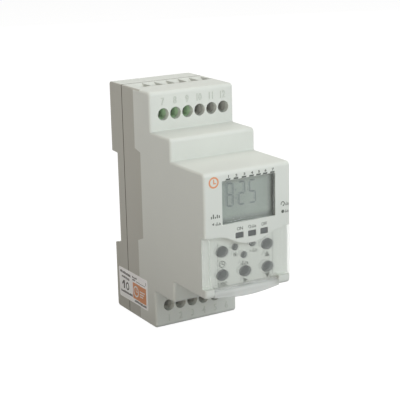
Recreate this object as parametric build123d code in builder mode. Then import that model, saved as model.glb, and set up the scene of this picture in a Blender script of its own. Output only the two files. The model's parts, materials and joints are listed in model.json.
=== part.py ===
"""Digital timer switch for a 35 mm rail, two modules wide.

Frame: origin at the centre of the rail seat, +X to the right, +Y to the rear
(the front looks along -Y), +Z up.  All sizes in millimetres.
"""

import os

from math import atan, degrees

from build123d import *

os.makedirs("parts", exist_ok=True)

# ---------------------------------------------------------------- dimensions
# Outer casing, stepped profile
HALF_W = 17.8        # half width, two modules of 17.8 mm
HALF_H = 45.0        # half height
REAR_Y = 4.7         # rearmost plane, behind the rail seat at y = 0
SPLIT_Y = -5.8       # parting plane between rear cover and front housing
SHOULDER_Y = -28.0   # front of the terminal shoulders
MIDDLE_Y = -42.5     # front of the middle step
FRONT_Y = -65.3      # front face
MIDDLE_Z = 30.5      # half height of the middle step
FRONT_Z = 22.3       # top of the front block
FRONT_LOW = 22.65    # bottom of the front block, below the middle
WALL = 1.8           # top, bottom and front walls
SHOULDER_WALL = 2.3  # front walls of the terminal shoulders
SPLIT_GAP = 0.25     # open joint between the rims of the two shells
SIDE_IN = 16.1       # inner half width of the front housing
OUTER_R = 1.5        # rounding of the outer horizontal edges
STEP_R = 0.5         # rounding in the inner corners of the steps
SIDE_R = 1.0         # rounding along the side outline

# Recessed strip along the rear of each side
STRIP_Y = -15.6
STRIP_X = 17.6
STRIP_REAR_X = 17.25

# Terminals
PITCH = 5.08
POLE_SHIFT = 0.65    # the rows of terminals sit a little to the right of the middle
POLES_X = [PITCH * (i - 2.5) + POLE_SHIFT for i in range(6)]
SCREW_Z = 36.55      # height of the screw axes above and below the middle
SCREW_HOLE_R = 2.25
LABEL_Y, LABEL_Z = -9.6, -34.0
LABEL_W, LABEL_H = 24.5, 12.1
LABEL_TILT = -1.2
WIRE_HALF_X = 2.1
WIRE_Y0, WIRE_Y1 = -14.6, -9.8
MOUTH_HALF_X = 2.36    # sloping mouth of each wire entry, long towards the rear
MOUTH_Y0, MOUTH_Y1 = -15.3, -7.6
MOUTH_DEPTH = 1.0
BLOCK_Y0, BLOCK_Y1 = -25.6, -9.0
BLOCK_Z0, BLOCK_Z1 = 31.9, 43.1
FUNNEL_HALF = 1.75     # guide for the screwdriver in the blocks, square
LEAD_HALF = 2.35       # its lead-in at the front
LEAD_DEPTH = 1.4
HEAD_R = 1.65          # terminal screw head
WEB_Y0, WEB_Y1 = -20.4, -19.6
CAGE_TRAVEL = 2.8

# Front panel
WINDOW_X, WINDOW_Z = 0.5, 11.15
WINDOW_W, WINDOW_H = 21.9, 15.6
FIELD_Y = -63.1      # key field under the flap
INNER_Y = -61.5      # inside of the key field wall
KEY_TRAVEL = 0.5
BOARD_Y = -56.5      # front of the display board
SWITCH_H = 3.0

# Flap and its hinge
HINGE_Y, HINGE_Z, BARREL_R = -64.0, -21.35, 1.3
STUB_R = 0.7
KNUCKLE_L, KNUCKLE_R = -14.2, 12.9
KNUCKLE_TOP = -19.3
FLAP_LOW = -18.8     # lower end of the flap's two sides, above the corners
FLAP_T = 1.0
FLAP_EDGE = [(-17.8, -0.5), (-12.5, -0.75), (-9.6, -1.25), (-5.3, -3.25), (-2.0, -4.35), (1.2, -4.75),
             (4.4, -4.35), (7.7, -3.3), (11.6, -1.75), (14.5, -1.05), (17.8, -0.8)]
LIP_EDGE = [(-14.05, -22.65), (-10.0, -23.2), (-5.0, -23.75), (0.0, -23.95), (5.0, -23.75), (9.0, -23.3), (12.75, -22.75)]
LIP_ROOM = -60.95    # rear end of the room that the lip swings into when the flap opens

# Keys: name, x, z, half width, half height, shape
KEYS = [
    ("key_channel_1", -3.60, -1.30, 1.55, 0.95, "rect"),
    ("key_auto", 1.60, -1.40, 1.55, 0.95, "rect"),
    ("key_channel_2", 6.60, -1.35, 1.45, 0.95, "rect"),
    ("key_clock", -9.60, -6.90, 2.4, 2.0, "oval"),
    ("key_prog", -9.55, -15.45, 2.4, 2.0, "oval"),
    ("key_enter", -0.15, -15.60, 2.4, 2.0, "oval"),
    ("key_up", 9.20, -7.20, 2.4, 2.0, "oval"),
    ("key_down", 9.30, -15.65, 2.4, 2.0, "oval"),
    ("key_mode", -4.30, -6.05, 1.2, 1.2, "round"),
    ("key_random", -0.65, -9.50, 1.2, 1.2, "round"),
    ("key_hour", 3.00, -5.75, 1.3, 1.3, "half"),
]
KEY_GAP = 0.12
HALF_CUT = 0.75       # the half-round key is cut flat this far above its middle

# Rail latch
LATCH_X = 7.0
LATCH_Y0, LATCH_Y1 = 1.1, 3.3
LATCH_TOP, LATCH_BOTTOM = -16.1, -41.8


def front(y):
    """Plane parallel to the front face at the given y, looking forward."""
    return Plane.XZ.offset(-y)


# ---------------------------------------------------------------- front housing
# Stepped shell, open to the rear.
with BuildPart() as front_housing:
    with BuildSketch(Plane.YZ) as profile:
        with BuildLine():
            Polyline(
                (SPLIT_Y, HALF_H), (SHOULDER_Y, HALF_H), (SHOULDER_Y, MIDDLE_Z), (MIDDLE_Y, MIDDLE_Z),
                (MIDDLE_Y, FRONT_Z), (FRONT_Y, FRONT_Z), (FRONT_Y, -FRONT_LOW), (MIDDLE_Y, -FRONT_LOW),
                (MIDDLE_Y, -MIDDLE_Z), (SHOULDER_Y, -MIDDLE_Z), (SHOULDER_Y, -HALF_H), (SPLIT_Y, -HALF_H),
                close=True)
        make_face()
        corners = profile.vertices()
        fillet([v for v in corners if (round(v.X, 2), round(abs(v.Y), 2)) in
                ((SHOULDER_Y, HALF_H), (MIDDLE_Y, MIDDLE_Z), (FRONT_Y, FRONT_Z), (FRONT_Y, FRONT_LOW))
                or (round(v.Y, 2), round(abs(v.Z), 2)) in
                ((SHOULDER_Y, HALF_H), (MIDDLE_Y, MIDDLE_Z), (FRONT_Y, FRONT_Z), (FRONT_Y, FRONT_LOW))], radius=OUTER_R)
        corners = profile.vertices()
        fillet([v for v in corners if (round(v.X, 2), round(abs(v.Y), 2)) in
                ((SHOULDER_Y, MIDDLE_Z), (MIDDLE_Y, FRONT_Z), (MIDDLE_Y, FRONT_LOW))
                or (round(v.Y, 2), round(abs(v.Z), 2)) in
                ((SHOULDER_Y, MIDDLE_Z), (MIDDLE_Y, FRONT_Z), (MIDDLE_Y, FRONT_LOW))], radius=STEP_R)
    extrude(amount=HALF_W, both=True)
    # rounded outline on both sides
    sides = front_housing.faces().filter_by(Axis.X).sort_by(Axis.X)
    rim = [e for f in (sides[0], sides[-1]) for e in f.edges() if e.center().Y < SPLIT_Y - 0.01]
    fillet(rim, radius=SIDE_R)
    # recessed, drafted strip along the rear of the sides
    with BuildSketch(Plane.XY):
        for s in (-1, 1):
            with BuildLine():
                Polyline((s * 19, STRIP_Y), (s * HALF_W, STRIP_Y), (s * STRIP_X, STRIP_Y + 0.25),
                         (s * STRIP_REAR_X, REAR_Y), (s * 19, REAR_Y), close=True)
            make_face()
    extrude(amount=HALF_H + 1, both=True, mode=Mode.SUBTRACT)
    # the strip is wider beside the rail notch
    for s in (-1, 1):
        with BuildSketch(Plane.YZ.offset(s * STRIP_X)):
            with BuildLine():
                Polyline((-15.0, 22.75), (-19.8, 21.6), (-19.8, -11.4), (-15.0, -13.3), close=True)
            make_face()
        extrude(amount=s * 1.0, mode=Mode.SUBTRACT)
    # cavity
    with BuildSketch(Plane.YZ):
        with BuildLine():
            Polyline(
                (SPLIT_Y + 1, HALF_H - WALL), (SHOULDER_Y + SHOULDER_WALL, HALF_H - WALL),
                (SHOULDER_Y + SHOULDER_WALL, MIDDLE_Z - WALL), (MIDDLE_Y + WALL, MIDDLE_Z - WALL),
                (MIDDLE_Y + WALL, FRONT_Z - WALL), (FRONT_Y + WALL, FRONT_Z - WALL),
                (FRONT_Y + WALL, 0.6), (INNER_Y, 0.6), (INNER_Y, -18.9), (INNER_Y + 1.2, -18.9),
                (INNER_Y + 1.2, -FRONT_LOW + WALL), (MIDDLE_Y + WALL, -FRONT_LOW + WALL),
                (MIDDLE_Y + WALL, -MIDDLE_Z + WALL), (SHOULDER_Y + SHOULDER_WALL, -MIDDLE_Z + WALL),
                (SHOULDER_Y + SHOULDER_WALL, -HALF_H + WALL), (SPLIT_Y + 1, -HALF_H + WALL), close=True)
        make_face()
    extrude(amount=SIDE_IN, both=True, mode=Mode.SUBTRACT)
    # recess for the flap, with a curved upper edge and a corner left standing at each hinge
    with BuildSketch(front(FRONT_Y)):
        with BuildLine():
            edge = Spline(*FLAP_EDGE)
            Polyline(edge @ 1, (18.5, FLAP_EDGE[-1][1]), (18.5, KNUCKLE_TOP), (KNUCKLE_R, KNUCKLE_TOP),
                     (KNUCKLE_R, -23), (KNUCKLE_L, -23), (KNUCKLE_L, KNUCKLE_TOP), (-18.5, KNUCKLE_TOP),
                     (-18.5, FLAP_EDGE[0][1]), edge @ 0)
        make_face()
    extrude(amount=-(FIELD_Y - FRONT_Y), mode=Mode.SUBTRACT)
    with BuildSketch(Plane.YZ.offset(KNUCKLE_L)):
        with Locations(((FIELD_Y + LIP_ROOM) / 2, (-19.5 - 22.8) / 2)):
            Rectangle(LIP_ROOM - FIELD_Y, 22.8 - 19.5)
    extrude(amount=KNUCKLE_R - KNUCKLE_L, mode=Mode.SUBTRACT)
    # hinge bores in the two corners
    with BuildSketch(Plane.YZ.offset(KNUCKLE_L - 1.6)):
        with Locations((HINGE_Y, HINGE_Z)):
            Circle(STUB_R + 0.05)
    extrude(amount=1.6, mode=Mode.SUBTRACT)
    with BuildSketch(Plane.YZ.offset(KNUCKLE_R)):
        with Locations((HINGE_Y, HINGE_Z)):
            Circle(STUB_R + 0.05)
    extrude(amount=1.6, mode=Mode.SUBTRACT)
    # display opening
    with BuildSketch(front(FRONT_Y - 0.5)):
        with Locations((WINDOW_X, WINDOW_Z)):
            RectangleRounded(WINDOW_W, WINDOW_H, 0.35)
    extrude(amount=-(WALL + 1.0), mode=Mode.SUBTRACT)
    # key holes
    with BuildSketch(front(FRONT_Y - 0.5)):
        for name, kx, kz, hw, hh, shape in KEYS:
            with Locations((kx, kz)):
                if shape == "rect":
                    RectangleRounded(2 * (hw + KEY_GAP), 2 * (hh + KEY_GAP), 0.3)
                elif shape == "oval":
                    Ellipse(hw + KEY_GAP, hh + KEY_GAP)
                else:
                    Circle(hw + KEY_GAP)
                if shape == "half":
                    with Locations((0, HALF_CUT + KEY_GAP + 1)):
                        Rectangle(4, 2, mode=Mode.SUBTRACT)
    extrude(amount=-(INNER_Y - FRONT_Y + 0.7), mode=Mode.SUBTRACT)
    # screwdriver holes in both shoulders
    with BuildSketch(front(SHOULDER_Y - 0.5)):
        with Locations(*[(x, s * SCREW_Z) for x in POLES_X for s in (-1, 1)]):
            Circle(SCREW_HOLE_R)
    extrude(amount=-(SHOULDER_WALL + 1.0), mode=Mode.SUBTRACT)
    # wire entries through top and bottom
    with BuildSketch(Plane.XY.offset(HALF_H - WALL - 0.2)):
        with Locations(*[(x, (WIRE_Y0 + WIRE_Y1) / 2) for x in POLES_X]):
            Rectangle(2 * WIRE_HALF_X, WIRE_Y1 - WIRE_Y0)
    extrude(amount=WALL + 1, mode=Mode.SUBTRACT)
    with BuildSketch(Plane.XY.offset(-HALF_H - 0.8)):
        with Locations(*[(x, (WIRE_Y0 + WIRE_Y1) / 2) for x in POLES_X]):
            Rectangle(2 * WIRE_HALF_X, WIRE_Y1 - WIRE_Y0)
    extrude(amount=WALL + 1, mode=Mode.SUBTRACT)
    # their sloping mouths
    for x in POLES_X:
        for s in (-1, 1):
            with BuildSketch(Plane.XY.offset(s * HALF_H)):
                with Locations((x, (MOUTH_Y0 + MOUTH_Y1) / 2)):
                    Rectangle(2 * MOUTH_HALF_X, MOUTH_Y1 - MOUTH_Y0)
            with BuildSketch(Plane.XY.offset(s * (HALF_H - MOUTH_DEPTH))):
                with Locations((x, (WIRE_Y0 + WIRE_Y1) / 2)):
                    Rectangle(2 * WIRE_HALF_X, WIRE_Y1 - WIRE_Y0)
            loft(mode=Mode.SUBTRACT)
    # ribs that the display board rests on, and grooves for the catches of the rear cover
    for s in (-1, 1):
        with Locations((s * (SIDE_IN - 0.35), BOARD_Y - 0.5, 0)):
            Box(0.9, 1.0, 36)
        for t in (-1, 1):
            with Locations((s * (SIDE_IN + 0.1), -6.6, t * 24)):
                Box(0.5, 0.8, 8.2, mode=Mode.SUBTRACT)
front_housing.part.label = "front_housing"
export_step(front_housing.part, "parts/front_housing.step")

# ---------------------------------------------------------------- rear cover
# Rear shell with the rail notch, the fixed hook above it and the latch guide below it.
with BuildPart() as rear_cover:
    with BuildSketch(Plane.YZ) as back_profile:
        with BuildLine():
            Polyline((SPLIT_Y + SPLIT_GAP, HALF_H), (REAR_Y, HALF_H), (REAR_Y, 18.1), (0, 17.9), (0, -17.6),
                     (REAR_Y, -18.8), (REAR_Y, -HALF_H), (SPLIT_Y + SPLIT_GAP, -HALF_H), close=True)
        make_face()
    extrude(amount=HALF_W, both=True)
    outer_edges = [e for e in rear_cover.edges().filter_by(Axis.X)
                   if abs(e.center().Y - REAR_Y) < 0.01 and abs(abs(e.center().Z) - HALF_H) < 0.01]
    fillet(outer_edges, radius=1.2)
    sides = rear_cover.faces().filter_by(Axis.X).sort_by(Axis.X)
    rim = [e for f in (sides[0], sides[-1]) for e in f.edges()
           if e.center().Y > SPLIT_Y + SPLIT_GAP + 0.01 and abs(e.center().Z) > 19]
    fillet(rim, radius=SIDE_R)
    with BuildSketch(Plane.XY):
        for s in (-1, 1):
            with BuildLine():
                Polyline((s * 19, STRIP_Y), (s * HALF_W, STRIP_Y), (s * STRIP_X, STRIP_Y + 0.25),
                         (s * STRIP_REAR_X, REAR_Y), (s * STRIP_REAR_X, REAR_Y + 1), (s * 19, REAR_Y + 1),
                         close=True)
            make_face()
    extrude(amount=HALF_H + 1, both=True, mode=Mode.SUBTRACT)
    # cavity behind the rail seat, deeper above and below the notch
    with BuildSketch(Plane.YZ):
        with BuildLine():
            Polyline((SPLIT_Y - 1, 41.95), (REAR_Y - 1.6, 41.95), (REAR_Y - 1.6, 19.9), (-1.6, 19.9),
                     (-1.6, -20.6), (-0.6, -20.6), (-0.6, -41.95), (SPLIT_Y - 1, -41.95), close=True)
        make_face()
    extrude(amount=14.85, both=True, mode=Mode.SUBTRACT)
    for s in (-1, 1):
        with Locations((s * 11.85, 1.2, -31.3)):
            Box(6.0, 3.8, 21.3, mode=Mode.SUBTRACT)
    # lip that enters the front housing, with four catches
    with BuildSketch(front(SPLIT_Y + SPLIT_GAP)):
        Rectangle(2 * 15.95, 2 * 43.05)
        Rectangle(2 * 14.85, 2 * 41.95, mode=Mode.SUBTRACT)
    extrude(amount=SPLIT_GAP + 1.6)
    for s in (-1, 1):
        for t in (-1, 1):
            with Locations((s * 15.9, -6.6, t * 24)):
                Box(0.7, 0.5, 7.6)
    # fixed hook over the upper rail edge
    with BuildSketch(Plane.YZ):
        with BuildLine():
            Polyline((1.3, 18.2), (1.3, 16.6), (1.6, 16.4), (2.3, 16.4), (3.4, 17.6), (3.4, 18.2), close=True)
        make_face()
    extrude(amount=13, both=True)
    # guide for the latch: a T-shaped slot open to the notch and to the bottom
    with Locations((0, 2.2, -31.6)):
        Box(2 * (LATCH_X + 0.2), 2.4, 29.0, mode=Mode.SUBTRACT)
    with Locations((0, 4.3, -31.6)):
        Box(2 * 5.8, 2.0, 29.0, mode=Mode.SUBTRACT)
    # peg that the latch spring stands on
    with Locations((0, 1.9, -35.6)):
        Box(3.2, 2.2, 1.2)
rear_cover.part.label = "rear_cover"
export_step(rear_cover.part, "parts/rear_cover.step")

# ---------------------------------------------------------------- rail latch and its spring
with BuildPart() as rail_clip:
    with BuildSketch(Plane.YZ):
        with BuildLine():
            Polyline((LATCH_Y0, LATCH_BOTTOM), (4.5, LATCH_BOTTOM), (4.5, -37.5), (3.9, -36.9),
                     (LATCH_Y1, -36.9), (LATCH_Y1, -17.9), (1.7, LATCH_TOP), (LATCH_Y0, LATCH_TOP), close=True)
        make_face()
    extrude(amount=5.6, both=True)
    with BuildSketch(Plane.YZ):
        with BuildLine():
            Polyline((LATCH_Y0, LATCH_BOTTOM), (LATCH_Y1, LATCH_BOTTOM), (LATCH_Y1, -17.9), (1.7, LATCH_TOP),
                     (LATCH_Y0, LATCH_TOP), close=True)
        make_face()
    extrude(amount=LATCH_X, both=True)
    with Locations((0, 2.2, -31.3)):
        Box(4.8, 4.0, 13.8, mode=Mode.SUBTRACT)
    # screwdriver slot in the tab
    with Locations((0, 3.8, -40.2)):
        Box(6.0, 1.8, 1.4, mode=Mode.SUBTRACT)
    fillet(rail_clip.edges().filter_by(Axis.Y).group_by(Axis.Z)[0], radius=0.8)
rail_clip.part.label = "rail_clip"
export_step(rail_clip.part, "parts/rail_clip.step")

with BuildPart() as rail_clip_spring:
    with BuildSketch(front(1.6)):
        with BuildLine() as zigzag:
            FilletPolyline((0, -35.0), (0, -34.2), (1.7, -34.2), (1.7, -32.8), (-1.7, -32.8), (-1.7, -31.3),
                           (1.7, -31.3), (1.7, -29.8), (-1.7, -29.8), (-1.7, -28.3), (1.7, -28.3),
                           (1.7, -26.8), (-1.7, -26.8), (-1.7, -25.4), (0, -25.4), (0, -24.4), radius=0.38)
        trace(zigzag.wires()[0].edges(), 0.45)
    extrude(amount=-1.2)
rail_clip_spring.part.label = "rail_clip_spring"
export_step(rail_clip_spring.part, "parts/rail_clip_spring.step")

# ---------------------------------------------------------------- label on the left side
with BuildPart() as side_label:
    with BuildSketch(Plane.XY.offset(LABEL_Z - 7.5)):
        with BuildLine():
            slope = (STRIP_X - STRIP_REAR_X) / (REAR_Y - STRIP_Y - 0.25)
            x_end = STRIP_X - slope * (3.5 - STRIP_Y - 0.25)
            Polyline((-HALF_W, -23.0), (-HALF_W, STRIP_Y), (-STRIP_X, STRIP_Y + 0.25), (-x_end, 3.5),
                     (-x_end - 0.1, 3.5), (-STRIP_X - 0.1, STRIP_Y + 0.25), (-HALF_W - 0.1, STRIP_Y),
                     (-HALF_W - 0.1, -23.0), close=True)
        make_face()
    extrude(amount=15)
    # stuck on a little askew
    with BuildSketch(Plane.YZ.offset(-HALF_W - 1)):
        with Locations((LABEL_Y, LABEL_Z)):
            RectangleRounded(LABEL_W, LABEL_H, 0.6, rotation=LABEL_TILT)
    extrude(amount=3, mode=Mode.INTERSECT)
side_label.part.label = "side_label"
export_step(side_label.part, "parts/side_label.step")

# ---------------------------------------------------------------- display pane
with BuildPart() as display_window:
    with BuildSketch(front(FRONT_Y + 0.15)):
        with Locations((WINDOW_X, WINDOW_Z)):
            RectangleRounded(WINDOW_W - 0.16, WINDOW_H - 0.16, 0.3)
    extrude(amount=-(WALL - 0.15))
    with BuildSketch(front(FRONT_Y + WALL)):
        with Locations((WINDOW_X, WINDOW_Z)):
            RectangleRounded(WINDOW_W + 2.0, WINDOW_H + 1.8, 0.6)
    extrude(amount=-0.6)
display_window.part.label = "display_window"
export_step(display_window.part, "parts/display_window.step")

# ---------------------------------------------------------------- flap over the keys
with BuildPart() as button_cover:
    # face plate, rounded along its front edges, with a lip that hangs in a shallow arc below the hinge
    with BuildSketch(front(FRONT_Y)):
        with BuildLine():
            edge = Spline(*[(x, z - 0.25) for x, z in FLAP_EDGE])
            Polyline(edge @ 1, (17.8, FLAP_LOW), (KNUCKLE_R - 0.15, FLAP_LOW), (KNUCKLE_R - 0.15, HINGE_Z),
                     (KNUCKLE_L + 0.15, HINGE_Z), (KNUCKLE_L + 0.15, FLAP_LOW), (-17.8, FLAP_LOW), edge @ 0)
        make_face()
    extrude(amount=-FLAP_T)
    rim = [e for e in button_cover.faces().sort_by(Axis.Y)[0].edges() if abs(e.center().Z - HINGE_Z) > 0.01]
    fillet(rim, radius=0.3)
    with BuildSketch(front(FRONT_Y)):
        with BuildLine():
            lip = Spline(*LIP_EDGE)
            Polyline(lip @ 1, (KNUCKLE_R - 0.15, HINGE_Z), (KNUCKLE_L + 0.15, HINGE_Z), lip @ 0)
        make_face()
    extrude(amount=-FLAP_T)
    fillet([e for e in button_cover.edges() if abs(e.center().Y - FRONT_Y) < 0.01 and e.center().Z < HINGE_Z - 1.5], radius=0.3)
    # side rims
    with BuildSketch(front(FRONT_Y + FLAP_T)):
        with Locations((-16.45, (FLAP_LOW - 0.9) / 2)):
            Rectangle(2.7, -0.9 - FLAP_LOW)
        with Locations((16.45, (FLAP_LOW - 1.3) / 2)):
            Rectangle(2.7, -1.3 - FLAP_LOW)
        # bosses at the two hinge ends
        with Locations((KNUCKLE_L + 1.5, HINGE_Z + 1.4), (KNUCKLE_R - 1.5, HINGE_Z + 1.4)):
            Rectangle(2.7, 2.8)
    extrude(amount=-(FIELD_Y - FRONT_Y - FLAP_T - 0.1))
    # hinge barrel and stubs
    with BuildSketch(Plane.YZ.offset(KNUCKLE_L + 0.15)):
        with Locations((HINGE_Y, HINGE_Z)):
            Circle(BARREL_R)
    extrude(amount=KNUCKLE_R - KNUCKLE_L - 0.3)
    with BuildSketch(Plane.YZ.offset(KNUCKLE_L - 1.4)):
        with Locations((HINGE_Y, HINGE_Z)):
            Circle(STUB_R)
    extrude(amount=KNUCKLE_R - KNUCKLE_L + 2.8)
button_cover.part.label = "button_cover"
export_step(button_cover.part, "parts/button_cover.step")

# ---------------------------------------------------------------- keys
# Each key has a cap in the panel, a flange behind the panel and a stem that enters its push switch.
for name, kx, kz, hw, hh, shape in KEYS:
    cap_y = FRONT_Y - 0.0 if shape == "rect" else FIELD_Y - 0.3
    with BuildPart() as key:
        with BuildSketch(front(cap_y)):
            with Locations((kx, kz)):
                if shape == "rect":
                    RectangleRounded(2 * hw, 2 * hh, 0.25)
                elif shape == "oval":
                    Ellipse(hw, hh)
                else:
                    Circle(hw)
                if shape == "half":
                    with Locations((0, HALF_CUT + 1)):
                        Rectangle(4, 2, mode=Mode.SUBTRACT)
        extrude(amount=-(INNER_Y - cap_y))
        fillet(key.faces().sort_by(Axis.Y)[0].edges(), radius=0.18)
        with BuildSketch(front(INNER_Y + 0.03)):
            with Locations((kx, kz)):
                if shape == "rect":
                    Rectangle(2 * hw + 0.9, 2 * hh + 0.8)
                elif shape == "oval":
                    Ellipse(hw + 0.45, hh + 0.45)
                else:
                    Circle(hw + 0.45)
        extrude(amount=-0.6)
        with BuildSketch(front(INNER_Y)):
            with Locations((kx, kz)):
                Circle(0.8)
        extrude(amount=-(BOARD_Y - SWITCH_H + 0.9 - INNER_Y))
    key.part.label = name
    export_step(key.part, "parts/" + name + ".step")

# ---------------------------------------------------------------- display stack
with BuildPart() as lcd_glass:
    with BuildSketch(front(-62.8)):
        with Locations((WINDOW_X, WINDOW_Z)):
            Rectangle(27.0, 17.9)
    extrude(amount=-0.85)
    with BuildSketch(front(-61.95)):
        with Locations((WINDOW_X, WINDOW_Z)):
            Rectangle(26.4, 17.9)
    extrude(amount=-0.85)
lcd_glass.part.label = "lcd_glass"
export_step(lcd_glass.part, "parts/lcd_glass.step")

with BuildPart() as lcd_frame:
    with BuildSketch(front(-61.1)):
        with Locations((WINDOW_X, WINDOW_Z)):
            Rectangle(28.6, 18.1)
            Rectangle(22.0, 11.4, mode=Mode.SUBTRACT)
        with Locations((WINDOW_X, 18.9), (WINDOW_X, 3.8)):
            Rectangle(23.0, 1.6, mode=Mode.SUBTRACT)
    extrude(amount=-(BOARD_Y + 61.1))
    with BuildSketch(front(-62.8)):
        with Locations((WINDOW_X - 13.95, WINDOW_Z), (WINDOW_X + 13.95, WINDOW_Z)):
            Rectangle(0.7, 18.1)
    extrude(amount=-1.7)
lcd_frame.part.label = "lcd_frame"
export_step(lcd_frame.part, "parts/lcd_frame.step")

with BuildPart() as zebra_strips:
    with BuildSketch(front(-61.1)):
        with Locations((WINDOW_X, 18.9), (WINDOW_X, 3.8)):
            Rectangle(22.6, 1.3)
    extrude(amount=-(BOARD_Y + 61.1))
zebra_strips.part.label = "zebra_strips"
export_step(zebra_strips.part, "parts/zebra_strips.step")

with BuildPart() as display_board:
    with BuildSketch(front(BOARD_Y)):
        Rectangle(31.8, 40.6)
        with Locations((-14.2, 18.6), (14.2, -18.6)):
            Circle(0.9, mode=Mode.SUBTRACT)
    extrude(amount=-1.6)
display_board.part.label = "display_board"
export_step(display_board.part, "parts/display_board.step")

with BuildPart() as tact_switches:
    with BuildSketch(front(BOARD_Y)):
        with Locations(*[(k[1], k[2]) for k in KEYS]):
            Rectangle(3.2, 3.2)
    extrude(amount=SWITCH_H)
    with BuildSketch(front(BOARD_Y - SWITCH_H)):
        with Locations(*[(k[1], k[2]) for k in KEYS]):
            Circle(0.9)
    extrude(amount=-(0.9 + KEY_TRAVEL + 0.1), mode=Mode.SUBTRACT)
tact_switches.part.label = "tact_switches"
export_step(tact_switches.part, "parts/tact_switches.step")

with BuildPart() as microcontroller:
    with BuildSketch(front(BOARD_Y + 1.6 + 0.1)):
        with Locations((-8.4, 8.5)):
            Rectangle(10, 10)
    extrude(amount=-1.3)
    chamfer(microcontroller.faces().sort_by(Axis.Y)[-1].edges(), length=0.3)
    with Locations(*[(-8.4 + s * 5.4, BOARD_Y + 1.85, 8.5 - 4.0 + 0.8 * i) for s in (-1, 1) for i in range(11)]):
        Box(1.0, 0.5, 0.35)
    with Locations(*[(-8.4 - 4.0 + 0.8 * i, BOARD_Y + 1.85, 8.5 + s * 5.4) for s in (-1, 1) for i in range(11)]):
        Box(0.35, 0.5, 1.0)
microcontroller.part.label = "microcontroller"
export_step(microcontroller.part, "parts/microcontroller.step")

with BuildPart() as battery_holder:
    with BuildSketch(front(BOARD_Y + 1.6)):
        with Locations((8.4, -8.5)):
            Circle(7.3)
            Circle(6.7, mode=Mode.SUBTRACT)
            Rectangle(3.0, 16, mode=Mode.SUBTRACT)
        with Locations((8.4, -8.5)):
            Circle(7.3)
            Circle(6.3, mode=Mode.SUBTRACT)
    extrude(amount=-0.5)
    with BuildSketch(front(BOARD_Y + 2.1)):
        with Locations((8.4, -8.5)):
            Circle(7.3)
            Circle(6.7, mode=Mode.SUBTRACT)
            Rectangle(3.0, 16, mode=Mode.SUBTRACT)
    extrude(amount=-2.5)
battery_holder.part.label = "battery_holder"
export_step(battery_holder.part, "parts/battery_holder.step")

with BuildPart() as backup_battery:
    with BuildSketch(front(BOARD_Y + 2.1)):
        with Locations((8.4, -8.5)):
            Circle(6.6)
    extrude(amount=-5.0)
    fillet(backup_battery.faces().sort_by(Axis.Y)[-1].edges(), radius=0.6)
backup_battery.part.label = "backup_battery"
export_step(backup_battery.part, "parts/backup_battery.step")

# ---------------------------------------------------------------- boards and power parts
with BuildPart() as link_board:
    with Locations((0, (BOARD_Y + 1.6 - 9.0) / 2, 0)):
        Box(1.6, 9.0 * -1 - (BOARD_Y + 1.6), 39)
link_board.part.label = "link_board"
export_step(link_board.part, "parts/link_board.step")

with BuildPart() as main_board:
    with BuildSketch(front(-9.0)):
        Rectangle(31.2, 85)
        with Locations(*[(x, s * (SCREW_Z - 3.2)) for x in POLES_X for s in (-1, 1)]):
            Circle(0.65, mode=Mode.SUBTRACT)
    extrude(amount=-1.6)
main_board.part.label = "main_board"
export_step(main_board.part, "parts/main_board.step")

with BuildPart() as relays:
    with BuildSketch(front(-9.0)):
        with Locations((-8.85, 14.0), (8.85, 14.0)):
            RectangleRounded(12.7, 29.0, 0.6)
    extrude(amount=15.7)
    fillet(relays.faces().filter_by(Axis.Y).group_by(Axis.Y)[0].edges(), radius=0.5)
relays.part.label = "relays"
export_step(relays.part, "parts/relays.step")

with BuildPart() as film_capacitor:
    with BuildSketch(front(-9.0)):
        with Locations((9.3, -19.0)):
            RectangleRounded(8.5, 18.0, 0.5)
    extrude(amount=15)
    fillet(film_capacitor.faces().sort_by(Axis.Y)[0].edges(), radius=0.5)
film_capacitor.part.label = "film_capacitor"
export_step(film_capacitor.part, "parts/film_capacitor.step")

with BuildPart() as smoothing_capacitor:
    with BuildSketch(front(-9.0)):
        with Locations((-8.5, -8.6)):
            Circle(5.0)
    extrude(amount=16)
    fillet(smoothing_capacitor.faces().sort_by(Axis.Y)[0].edges(), radius=0.7)
smoothing_capacitor.part.label = "smoothing_capacitor"
export_step(smoothing_capacitor.part, "parts/smoothing_capacitor.step")

with BuildPart() as varistor:
    with BuildSketch(Plane.YZ.offset(-10.0)):
        with Locations((-15.6, -22.0)):
            Circle(5.0)
    extrude(amount=3.6)
    fillet(varistor.edges().filter_by(GeomType.CIRCLE), radius=0.8)
    with Locations((-8.2, -10.3, -24.0), (-8.2, -10.3, -20.0)):
        Box(0.7, 2.6, 0.7)
varistor.part.label = "varistor"
export_step(varistor.part, "parts/varistor.step")

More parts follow.
